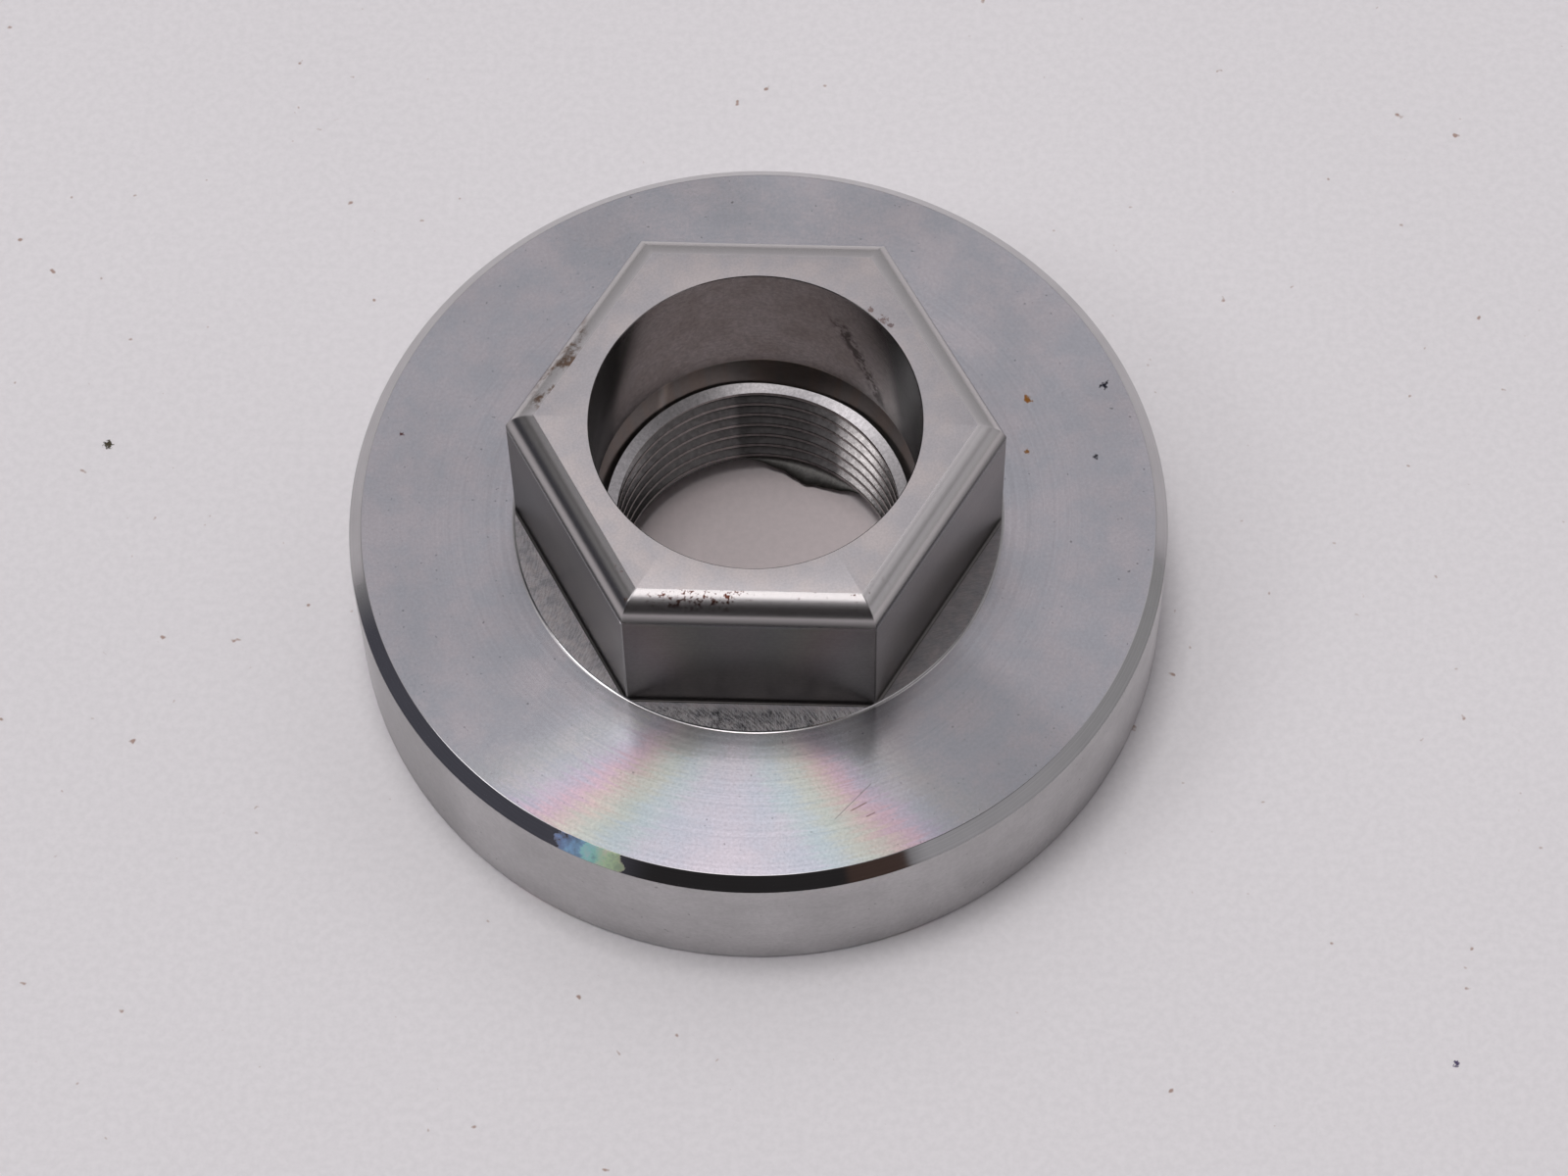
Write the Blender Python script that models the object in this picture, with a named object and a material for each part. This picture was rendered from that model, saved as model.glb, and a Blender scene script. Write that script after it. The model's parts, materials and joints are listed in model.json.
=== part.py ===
"""Flanged hex nut: a thick round flange with a hexagon on top, bored and threaded through its centre.

One machined steel piece. The origin is at the centre of the bottom face, +Z runs up through the hexagon,
and two of the hexagon's flats face -Y and +Y. Lengths are in metres.
"""

import math

import bmesh
import bpy

# Flange
FLANGE_RADIUS = 0.035
FLANGE_THICKNESS = 0.0145
FLANGE_TOP_CHAMFER = 0.0011
FLANGE_BOTTOM_CHAMFER = 0.0003

# Low round boss that the hexagon was milled from, standing just proud of the flange
BOSS_RADIUS = 0.0209
BOSS_STEP = 0.0001

# Hexagon, with its upper edges rounded by a corner-rounding cutter
TOTAL_HEIGHT = 0.0306
HEX_ACROSS_FLATS = 0.036
HEX_ROUNDING_RADIUS = 0.00237
HEX_ROUNDING_DEPTH = 0.00236
HEX_ROUNDING_STEPS = 6

# Bore, from the hexagon's end down: counterbore, tapered lead-in, shoulder, thread, countersink
COUNTERBORE_RADIUS = 0.0138
COUNTERBORE_END_HEIGHT = 0.01673
SHOULDER_OUTER_HEIGHT = 0.01415
SHOULDER_INNER_HEIGHT = 0.01378
COUNTERSINK_DEPTH = 0.0019

# Right-hand G 3/4 parallel pipe thread, 14 threads to the inch, with 55 degree grooves
THREAD_PITCH = 0.0254 / 14
THREAD_MAJOR_RADIUS = 0.01322
THREAD_MINOR_RADIUS = 0.01216
THREAD_GROOVE_ANGLE = math.radians(55)
THREAD_GROOVE_FLOOR = THREAD_PITCH / 6
RIDGE_HEIGHT_ON_X_AXIS = 0.0131

RADIAL_STEPS = 72
CUTTER_OVERRUN = 0.001
SHARP_EDGE_ANGLE = math.radians(25)


def clear_scene():
    for old in list(bpy.data.objects):
        bpy.data.objects.remove(old)


def steel_material():
    material = bpy.data.materials.new("machined_steel")
    material.use_nodes = True
    shader = material.node_tree.nodes["Principled BSDF"]
    shader.inputs["Base Color"].default_value = (0.56, 0.55, 0.55, 1.0)
    shader.inputs["Metallic"].default_value = 1.0
    shader.inputs["Roughness"].default_value = 0.32
    return material


def polar(radius, angle, height):
    return (radius * math.cos(angle), radius * math.sin(angle), height)


def add_object(name, bm):
    """Turn a finished bmesh into an object whose faces all point out."""
    bmesh.ops.recalc_face_normals(bm, faces=bm.faces)
    mesh = bpy.data.meshes.new(name)
    bm.to_mesh(mesh)
    bm.free()
    obj = bpy.data.objects.new(name, mesh)
    bpy.context.scene.collection.objects.link(obj)
    return obj


def turned(name, outline):
    """Revolve (radius, height) points about Z. The outline's first and last points lie on the axis."""
    bm = bmesh.new()
    bottom = bm.verts.new((0, 0, outline[0][1]))
    top = bm.verts.new((0, 0, outline[-1][1]))
    columns = []
    for step in range(RADIAL_STEPS):
        angle = math.tau * step / RADIAL_STEPS
        columns.append([bm.verts.new(polar(radius, angle, height)) for radius, height in outline[1:-1]])
    for step, column in enumerate(columns):
        following = columns[(step + 1) % RADIAL_STEPS]
        bm.faces.new((bottom, following[0], column[0]))
        bm.faces.new((top, column[-1], following[-1]))
        for row in range(len(column) - 1):
            bm.faces.new((column[row], following[row], following[row + 1], column[row + 1]))
    return add_object(name, bm)


def flange_with_boss(name):
    boss_top = FLANGE_THICKNESS + BOSS_STEP
    return turned(name, [
        (0, 0),
        (FLANGE_RADIUS - FLANGE_BOTTOM_CHAMFER, 0),
        (FLANGE_RADIUS, FLANGE_BOTTOM_CHAMFER),
        (FLANGE_RADIUS, FLANGE_THICKNESS - FLANGE_TOP_CHAMFER),
        (FLANGE_RADIUS - FLANGE_TOP_CHAMFER, FLANGE_THICKNESS),
        (BOSS_RADIUS, FLANGE_THICKNESS),
        (BOSS_RADIUS, boss_top),
        (0, boss_top),
    ])


def hexagon():
    """A stack of six-sided rings. It starts inside the flange, and its upper rings follow the rounding."""
    half_width = HEX_ACROSS_FLATS / 2
    rounding_start = TOTAL_HEIGHT - HEX_ROUNDING_DEPTH
    rounding_sweep = math.asin(HEX_ROUNDING_DEPTH / HEX_ROUNDING_RADIUS)
    rings = [(half_width, FLANGE_THICKNESS / 2)]
    for step in range(HEX_ROUNDING_STEPS + 1):
        angle = rounding_sweep * step / HEX_ROUNDING_STEPS
        inset = HEX_ROUNDING_RADIUS * (1 - math.cos(angle))
        rings.append((half_width - inset, rounding_start + HEX_ROUNDING_RADIUS * math.sin(angle)))
    bm = bmesh.new()
    layers = []
    for apothem, height in rings:
        corner_radius = apothem / math.cos(math.pi / 6)
        layers.append([bm.verts.new(polar(corner_radius, math.tau * side / 6, height)) for side in range(6)])
    for lower, upper in zip(layers, layers[1:]):
        for side in range(6):
            after = (side + 1) % 6
            bm.faces.new((lower[side], lower[after], upper[after], upper[side]))
    bm.faces.new(layers[0])
    bm.faces.new(layers[-1])
    return add_object("hexagon_blank", bm)


def bore_cutter():
    mouth_radius = THREAD_MINOR_RADIUS + COUNTERSINK_DEPTH + CUTTER_OVERRUN
    shoulder_radius = THREAD_MAJOR_RADIUS + 0.00002
    return turned("bore_cutter", [
        (0, -CUTTER_OVERRUN),
        (mouth_radius, -CUTTER_OVERRUN),
        (THREAD_MINOR_RADIUS, COUNTERSINK_DEPTH),
        (THREAD_MINOR_RADIUS, SHOULDER_INNER_HEIGHT),
        (shoulder_radius, SHOULDER_OUTER_HEIGHT),
        (COUNTERBORE_RADIUS, COUNTERBORE_END_HEIGHT),
        (COUNTERBORE_RADIUS, TOTAL_HEIGHT + CUTTER_OVERRUN),
        (0, TOTAL_HEIGHT + CUTTER_OVERRUN),
    ])


def groove_section(core_radius):
    """(radius, rise) points of one groove, where rise is measured from the middle of the ridge below it."""
    flank_rise = (THREAD_MAJOR_RADIUS - core_radius) * math.tan(THREAD_GROOVE_ANGLE / 2)
    groove_mouth = THREAD_GROOVE_FLOOR + 2 * flank_rise
    start = (THREAD_PITCH - groove_mouth) / 2
    return [
        (core_radius, start),
        (THREAD_MAJOR_RADIUS, start + flank_rise),
        (THREAD_MAJOR_RADIUS, start + flank_rise + THREAD_GROOVE_FLOOR),
        (core_radius, start + groove_mouth),
    ]


def thread_cutter():
    """A screw-shaped plug whose thread climbs anticlockwise, seen from above. It reaches past both ends."""
    core_radius = THREAD_MINOR_RADIUS - 0.0002
    section = groove_section(core_radius)
    turns_below = math.ceil(RIDGE_HEIGHT_ON_X_AXIS / THREAD_PITCH) + 1
    start_height = RIDGE_HEIGHT_ON_X_AXIS - turns_below * THREAD_PITCH
    turns = turns_below + 2
    last = turns * RADIAL_STEPS
    bm = bmesh.new()
    posts = []
    for step in range(last + 1):
        angle = math.tau * step / RADIAL_STEPS
        climb = start_height + THREAD_PITCH * step / RADIAL_STEPS
        posts.append([bm.verts.new(polar(radius, angle, climb + rise)) for radius, rise in section])
    for post, following in zip(posts, posts[1:]):
        for row in range(len(section) - 1):
            bm.faces.new((post[row], following[row], following[row + 1], post[row + 1]))
    for step in range(last - RADIAL_STEPS):
        above = step + RADIAL_STEPS
        bm.faces.new((posts[step][-1], posts[step + 1][-1], posts[above + 1][0], posts[above][0]))
    lower_centre = bm.verts.new((0, 0, start_height))
    upper_centre = bm.verts.new((0, 0, start_height + (turns + 1) * THREAD_PITCH))
    for step in range(RADIAL_STEPS):
        bm.faces.new((lower_centre, posts[step + 1][0], posts[step][0]))
        upper = last - RADIAL_STEPS + step
        bm.faces.new((upper_centre, posts[upper][-1], posts[upper + 1][-1]))
    bm.faces.new([lower_centre] + posts[0] + [posts[RADIAL_STEPS][0]])
    bm.faces.new([upper_centre, posts[last - RADIAL_STEPS][-1]] + posts[last])
    return add_object("thread_cutter", bm)


def combine(body, tool, operation):
    """Join the tool to the body, or cut it away, and keep the tool as a hidden wire guide."""
    tool.hide_render = True
    tool.display_type = "WIRE"
    modifier = body.modifiers.new(operation.lower() + "_" + tool.name, "BOOLEAN")
    modifier.operation = operation
    modifier.solver = "EXACT"
    modifier.object = tool


def main():
    clear_scene()
    nut = flange_with_boss("flanged_hex_nut")
    combine(nut, hexagon(), "UNION")
    combine(nut, bore_cutter(), "DIFFERENCE")
    combine(nut, thread_cutter(), "DIFFERENCE")
    evaluated = nut.evaluated_get(bpy.context.evaluated_depsgraph_get())
    finished = bpy.data.meshes.new_from_object(evaluated)
    nut.modifiers.clear()
    nut.data = finished
    finished.name = nut.name
    finished.shade_smooth()
    finished.set_sharp_from_angle(angle=SHARP_EDGE_ANGLE)
    finished.materials.clear()
    finished.materials.append(steel_material())


main()
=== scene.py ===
"""Looks for the flanged hex nut: one finely modelled steel body on a pale floor under soft studio light.

Its turned, milled, form-cut and threaded surfaces each have their own finish. Metres, +Z up, as packed."""

import json
import math

import bmesh
import bpy
from mathutils import Matrix, Vector


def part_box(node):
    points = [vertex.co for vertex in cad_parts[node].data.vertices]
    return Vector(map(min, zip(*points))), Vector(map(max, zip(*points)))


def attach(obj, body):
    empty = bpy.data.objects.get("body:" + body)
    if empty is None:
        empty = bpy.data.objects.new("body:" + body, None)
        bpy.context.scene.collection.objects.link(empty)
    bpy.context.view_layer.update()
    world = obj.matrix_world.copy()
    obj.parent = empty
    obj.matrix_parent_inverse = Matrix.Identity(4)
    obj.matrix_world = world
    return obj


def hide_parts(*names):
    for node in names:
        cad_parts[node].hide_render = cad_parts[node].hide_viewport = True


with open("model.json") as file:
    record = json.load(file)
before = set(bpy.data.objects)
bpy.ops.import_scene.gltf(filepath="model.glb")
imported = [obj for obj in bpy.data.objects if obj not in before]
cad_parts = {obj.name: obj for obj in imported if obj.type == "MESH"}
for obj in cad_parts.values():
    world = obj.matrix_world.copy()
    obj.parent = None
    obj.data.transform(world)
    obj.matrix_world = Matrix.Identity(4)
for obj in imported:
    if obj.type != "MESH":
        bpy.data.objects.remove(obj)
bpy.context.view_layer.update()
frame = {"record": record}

NODE = "flanged_hex_nut"
MM = 0.001

# Driving sizes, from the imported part
node_low, node_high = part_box(NODE)
mount_points = {mount["name"]: mount["pos_m"] for mount in frame["record"]["mounts"]}
FLANGE_RADIUS = node_high.x
TOTAL_HEIGHT = node_high.z
FLANGE_TOP = mount_points["flange_top_face"][2]
HEX_HALF_WIDTH = -mount_points["hex_flat_front"][1]

# Flange and boss
FLANGE_TOP_CHAMFER = 1.1 * MM
FLANGE_BOTTOM_CHAMFER = 0.3 * MM
EDGE_BREAK = 0.1 * MM
BOSS_STEP = 0.1 * MM
BOSS_TOOL_NOSE = 0.25 * MM
BAR_RADIUS = 20.74 * MM

# Hexagon
HEX_BASE_FILLET = 0.22 * MM
HEX_ROUNDING_RADIUS = 2.34 * MM
HEX_ROUNDING_DEPTH = 2.33 * MM
CORNER_LAND_ANGLES = (-0.7, -0.21, 0.21, 0.7)

# Bore
COUNTERBORE_RADIUS = 13.8 * MM
COUNTERBORE_END = 16.73 * MM
MOUTH_EDGE = 0.07 * MM
TAPER_END_RADIUS = 13.12 * MM
SHOULDER_OUTER = 14.08 * MM
SHOULDER_INNER = 13.78 * MM
TAPER_FILLET = 0.3 * MM
SHOULDER_FILLET = 0.05 * MM
COUNTERSINK_DEPTH = 1.9 * MM

# Where the taper runs in over the shoulder, above the start of the thread
SHOULDER_DIP = 0.22 * MM
SHOULDER_DIP_MIDDLE = math.radians(78)
SHOULDER_DIP_SPAN = math.radians(32)

# Right-hand pipe thread, 14 threads to the inch
PITCH = 25.4 / 14 * MM
MINOR_RADIUS = 12.16 * MM
MAJOR_RADIUS = 13.22 * MM
GROOVE_FADE = 0.5 * MM
GROOVE_ANGLE = math.radians(55)
GROOVE_FLOOR = PITCH / 6
CREST_ROUNDING = 0.07 * MM
ROOT_ROUNDING = 0.2 * MM
RIDGE_HEIGHT_ON_X_AXIS = 13.1 * MM
SPARE_TURNS = 2

# Feather edge left hanging inside the last thread: where it is, its waves as (height, number in a full turn),
# the least share of it that is made, and its section as (inwards, down) in millimetres
LIP_START, LIP_PEAK, LIP_END = (math.radians(angle) for angle in (40, 69, 102))
LIP_WAVES = ((0.06, 21), (0.03, 47))
LIP_LEAST = 0.04
LIP_SECTION = ((-0.4, -0.12), (-0.9, -0.34), (-1.3, -0.58), (-1.53, -0.76), (-1.58, -0.84), (-1.53, -0.9),
               (-1.2, -0.76), (-0.6, -0.5), (-0.1, -0.2), (0.12, -0.12))

# Fineness of the mesh
COLUMNS = 360
EDGE_STEPS = 3
COVE_STEPS = 5
BASE_FILLET_STEPS = 6
HEX_ROUNDING_STEPS = 18
LEAD_IN_STEPS = 5
THREAD_STEPS = 2
SUPPORT = 0.06 * MM
MERGE = 0.001 * MM
SHARP_ANGLE = math.radians(27)

# Camera and floor
CAMERA_POSITION = (0.01207, -0.20312, 0.39239)
CAMERA_AIM = (0.00206, 0.00033, 0.0)
CAMERA_ROLL = math.radians(-1.173)
CAMERA_LENS = 115.48
CAMERA_NEAR = 0.01
SENSOR_WIDTH = 36.0
FLOOR_RADIUS = 3.0
FLOOR_SIDES = 64


# ---------------------------------------------------------------- shape

def column_angles():
    """Evenly spaced angles once round, with extra ones beside each hexagon corner."""
    angles = {round(math.tau * step / COLUMNS, 9) for step in range(COLUMNS)}
    for corner in range(6):
        for offset in CORNER_LAND_ANGLES:
            angles.add(round((math.tau * corner / 6 + math.radians(offset)) % math.tau, 9))
    return sorted(angles) + [math.tau]


def eased(share):
    """A share from 0 to 1 with a smooth start and end."""
    return (3 - 2 * share) * share * share


def arc(centre, radius, start, end, steps):
    """Points round an arc in the (size, height) plane. Angles are in degrees from the size axis."""
    points = []
    for step in range(steps + 1):
        angle = math.radians(start + (end - start) * step / steps)
        points.append((centre[0] + radius * math.cos(angle), centre[1] + radius * math.sin(angle)))
    return points


def rounded(corners, steps):
    """Turn (size, height, rounding) corners into points.

    A rounded corner gets an arc of this many steps, and a close point on each side of it."""
    points = [corners[0][:2]]
    for before, corner, after in zip(corners, corners[1:], corners[2:]):
        apex = Vector(corner[:2])
        back = (Vector(before[:2]) - apex).normalized()
        onward = (Vector(after[:2]) - apex).normalized()
        half_angle = back.angle(onward) / 2
        reach = corner[2] / math.tan(half_angle)
        centre = apex + (back + onward).normalized() * corner[2] / math.sin(half_angle)
        first = apex + back * reach - centre
        sweep = first.angle_signed(apex + onward * reach - centre)
        points.append(tuple(apex + back * (reach + SUPPORT)))
        for step in range(steps + 1):
            turn = Matrix.Rotation(-sweep * step / steps, 2)
            points.append(tuple(centre + turn @ first))
        points.append(tuple(apex + onward * (reach + SUPPORT)))
    points.append(corners[-1][:2])
    return points


def outer_rings():
    """Rings from the countersink's mouth out and up to the bore's shoulder, as (shape, size, height, zone).

    A zone names the band between its ring and the one before it."""
    rings = []

    def add(shape, zone, points):
        rings.extend((shape, size, height, zone) for size, height in points)

    # The flange, where an outline's last point only says which way it leaves its corner
    mouth = MINOR_RADIUS + COUNTERSINK_DEPTH
    foot = (FLANGE_RADIUS - FLANGE_BOTTOM_CHAMFER, 0, EDGE_BREAK)
    wall_foot = (FLANGE_RADIUS, FLANGE_BOTTOM_CHAMFER)
    wall_top = (FLANGE_RADIUS, FLANGE_TOP - FLANGE_TOP_CHAMFER, EDGE_BREAK)
    face_edge = (FLANGE_RADIUS - FLANGE_TOP_CHAMFER, FLANGE_TOP, EDGE_BREAK)
    add("round", "underside", rounded([(mouth, 0), foot, wall_foot], EDGE_STEPS))
    add("round", "flange_wall", [(FLANGE_RADIUS, FLANGE_BOTTOM_CHAMFER + SUPPORT)])
    wall = rounded([(FLANGE_RADIUS, FLANGE_TOP / 2), wall_top, face_edge[:2]], EDGE_STEPS)[:-1]
    add("round", "flange_wall", wall[:-1])
    add("round", "chamfer", wall[-1:])
    step_angle = math.acos(1 - BOSS_STEP / BOSS_TOOL_NOSE)
    cove_start = BAR_RADIUS + BOSS_TOOL_NOSE * math.sin(step_angle)
    face = rounded([wall[-1], face_edge, (cove_start + SUPPORT, FLANGE_TOP)], EDGE_STEPS)[1:]
    add("round", "chamfer", face[:-2])
    add("round", "flange_face", face[-2:])

    # The boss and the hexagon
    cove_centre = (cove_start, FLANGE_TOP + BOSS_TOOL_NOSE)
    cove_end = -90 - math.degrees(step_angle)
    add("round", "boss_edge", arc(cove_centre, BOSS_TOOL_NOSE, -90, cove_end, COVE_STEPS))
    boss_top = FLANGE_TOP + BOSS_STEP
    fillet_centre = (HEX_HALF_WIDTH + HEX_BASE_FILLET, boss_top + HEX_BASE_FILLET)
    add("hex", "boss_face", [(fillet_centre[0] + SUPPORT, boss_top)])
    add("hex", "hex_base", arc(fillet_centre, HEX_BASE_FILLET, -90, -180, BASE_FILLET_STEPS))
    rounding_start = TOTAL_HEIGHT - HEX_ROUNDING_DEPTH
    add("hex", "hex_side", [(HEX_HALF_WIDTH, fillet_centre[1] + SUPPORT)])
    add("hex", "hex_side", [(HEX_HALF_WIDTH, rounding_start - SUPPORT)])
    rounding_centre = (HEX_HALF_WIDTH - HEX_ROUNDING_RADIUS, rounding_start)
    rounding_end = math.degrees(math.asin(HEX_ROUNDING_DEPTH / HEX_ROUNDING_RADIUS))
    rounding = arc(rounding_centre, HEX_ROUNDING_RADIUS, 0, rounding_end, HEX_ROUNDING_STEPS)
    add("hex", "hex_rounding", rounding)

    # The bore, down to the shoulder's inner edge, which the thread's columns start with
    add("round", "hex_end", [(COUNTERBORE_RADIUS + MOUTH_EDGE, TOTAL_HEIGHT)])
    add("round", "bore_wall", [(COUNTERBORE_RADIUS, TOTAL_HEIGHT - MOUTH_EDGE)])
    lower = lead_in()
    taper_end = 1 + LEAD_IN_STEPS + 3
    shoulder_start = taper_end + LEAD_IN_STEPS + 1
    add("round", "bore_wall", lower[:2])
    add("round", "taper", lower[2:taper_end])
    add("dipped", "taper", lower[taper_end:shoulder_start])
    add("dipped", "shoulder", lower[shoulder_start:-1])
    return rings


def lead_in():
    """(radius, height) points down the counterbore and its taper, and in over the shoulder to its end."""
    return rounded([
        (COUNTERBORE_RADIUS, TOTAL_HEIGHT - MOUTH_EDGE - SUPPORT),
        (COUNTERBORE_RADIUS, COUNTERBORE_END, TAPER_FILLET),
        (TAPER_END_RADIUS, SHOULDER_OUTER, SHOULDER_FILLET),
        (MINOR_RADIUS, SHOULDER_INNER),
    ], LEAD_IN_STEPS)


def thread_section():
    """(rise, radius) points down one pitch, from one ridge's middle to just above the next one's middle."""
    flank_rise = (MAJOR_RADIUS - MINOR_RADIUS) * math.tan(GROOVE_ANGLE / 2)
    crest_half = (PITCH - GROOVE_FLOOR) / 2 - flank_rise
    corners = [
        (0, MINOR_RADIUS),
        (-crest_half, MINOR_RADIUS, CREST_ROUNDING),
        (-crest_half - flank_rise, MAJOR_RADIUS, ROOT_ROUNDING),
        (-crest_half - flank_rise - GROOVE_FLOOR, MAJOR_RADIUS, ROOT_ROUNDING),
        (-PITCH + crest_half, MINOR_RADIUS, CREST_ROUNDING),
        (-PITCH, MINOR_RADIUS),
    ]
    return rounded(corners, THREAD_STEPS)[:-1]


def countersink_height(radius):
    """How high the countersink is at this distance from the axis."""
    return COUNTERSINK_DEPTH - (radius - MINOR_RADIUS)


def cut_off_below(points):
    """Gather all points past the countersink where the thread first crosses it, going down."""
    def over(point):
        return point[1] - countersink_height(point[0])

    index = next(index for index, point in enumerate(points) if over(point) < 0)
    inside, outside = points[index - 1], points[index]
    share = over(inside) / (over(inside) - over(outside))
    crossing = tuple(a + (b - a) * share for a, b in zip(inside, outside))
    points[index:] = [crossing] * (len(points) - index)


def lip_share(angle):
    """How far the feather edge reaches at this angle, from 0 to about 1."""
    if not LIP_START < angle < LIP_END:
        return 0.0
    near = LIP_START if angle < LIP_PEAK else LIP_END
    wave = 1.0
    for height, count in LIP_WAVES:
        wave += height * math.sin(count * angle)
    reach = eased((angle - near) / (LIP_PEAK - near)) * wave
    return reach if reach > LIP_LEAST else 0.0


def thread_column(angle, section):
    """(radius, height) points down the thread at one angle, from the shoulder to the countersink and its lip.

    The groove fades out just under the shoulder, which stays whole."""
    turns = math.ceil(TOTAL_HEIGHT / 2 / PITCH) + SPARE_TURNS
    top = RIDGE_HEIGHT_ON_X_AXIS + SPARE_TURNS * PITCH + PITCH * angle / math.tau
    points = []
    for turn in range(turns):
        for rise, radius in section:
            height = min(top - turn * PITCH + rise, SHOULDER_INNER)
            depth = (radius - MINOR_RADIUS) * min((SHOULDER_INNER - height) / GROOVE_FADE, 1)
            points.append((MINOR_RADIUS + depth, height))
    cut_off_below(points)
    start_radius, start_height = points[-1]
    share = lip_share(angle)
    for inwards, down in LIP_SECTION:
        points.append((start_radius + share * inwards * MM, start_height + share * down * MM))
    return points


def ring_radius(shape, size, angle):
    """How far a ring is from the axis at one angle.

    A round ring keeps its size, and a dipped one comes in over part of its way round. A six-sided ring is cut
    back to the round bar that the hexagon was milled from."""
    if shape == "round":
        return size
    if shape == "dipped":
        share = max(1 - abs(angle - SHOULDER_DIP_MIDDLE) / SHOULDER_DIP_SPAN, 0)
        return size - SHOULDER_DIP * eased(share)
    off_middle = (angle % (math.pi / 3)) - math.pi / 6
    return min(size / math.cos(off_middle), BAR_RADIUS)


def nut_mesh(zones):
    """The surface as one closed mesh: columns all round, each a closed loop through bore and outside."""
    rings = outer_rings()
    section = thread_section()
    columns = []
    for angle in column_angles():
        thread = thread_column(angle, section)
        loop = [(ring_radius(shape, size, angle), height) for shape, size, height, _ in rings]
        columns.append([
            (radius * math.cos(angle), radius * math.sin(angle), height) for radius, height in loop + thread
        ])
    thread_points = len(thread) - len(LIP_SECTION)
    bands = [zone for _, _, _, zone in rings[1:]]
    bands += ["shoulder"] + ["thread"] * (thread_points - 1) + ["lip"] * len(LIP_SECTION) + ["countersink"]
    rows = len(columns[0])
    bm = bmesh.new()
    grid = [[bm.verts.new(point) for point in column] for column in columns]
    for left, right in zip(grid, grid[1:]):
        for row in range(rows):
            after = (row + 1) % rows
            face = bm.faces.new((left[row], right[row], right[after], left[after]))
            face.material_index = zones.index(bands[row])
    bmesh.ops.remove_doubles(bm, verts=bm.verts, dist=MERGE)
    bmesh.ops.recalc_face_normals(bm, faces=bm.faces)
    mesh = bpy.data.meshes.new("steel_body")
    bm.to_mesh(mesh)
    bm.free()
    mesh.shade_smooth()
    mesh.set_sharp_from_angle(angle=SHARP_ANGLE)
    return mesh


# ---------------------------------------------------------------- node helpers

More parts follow.
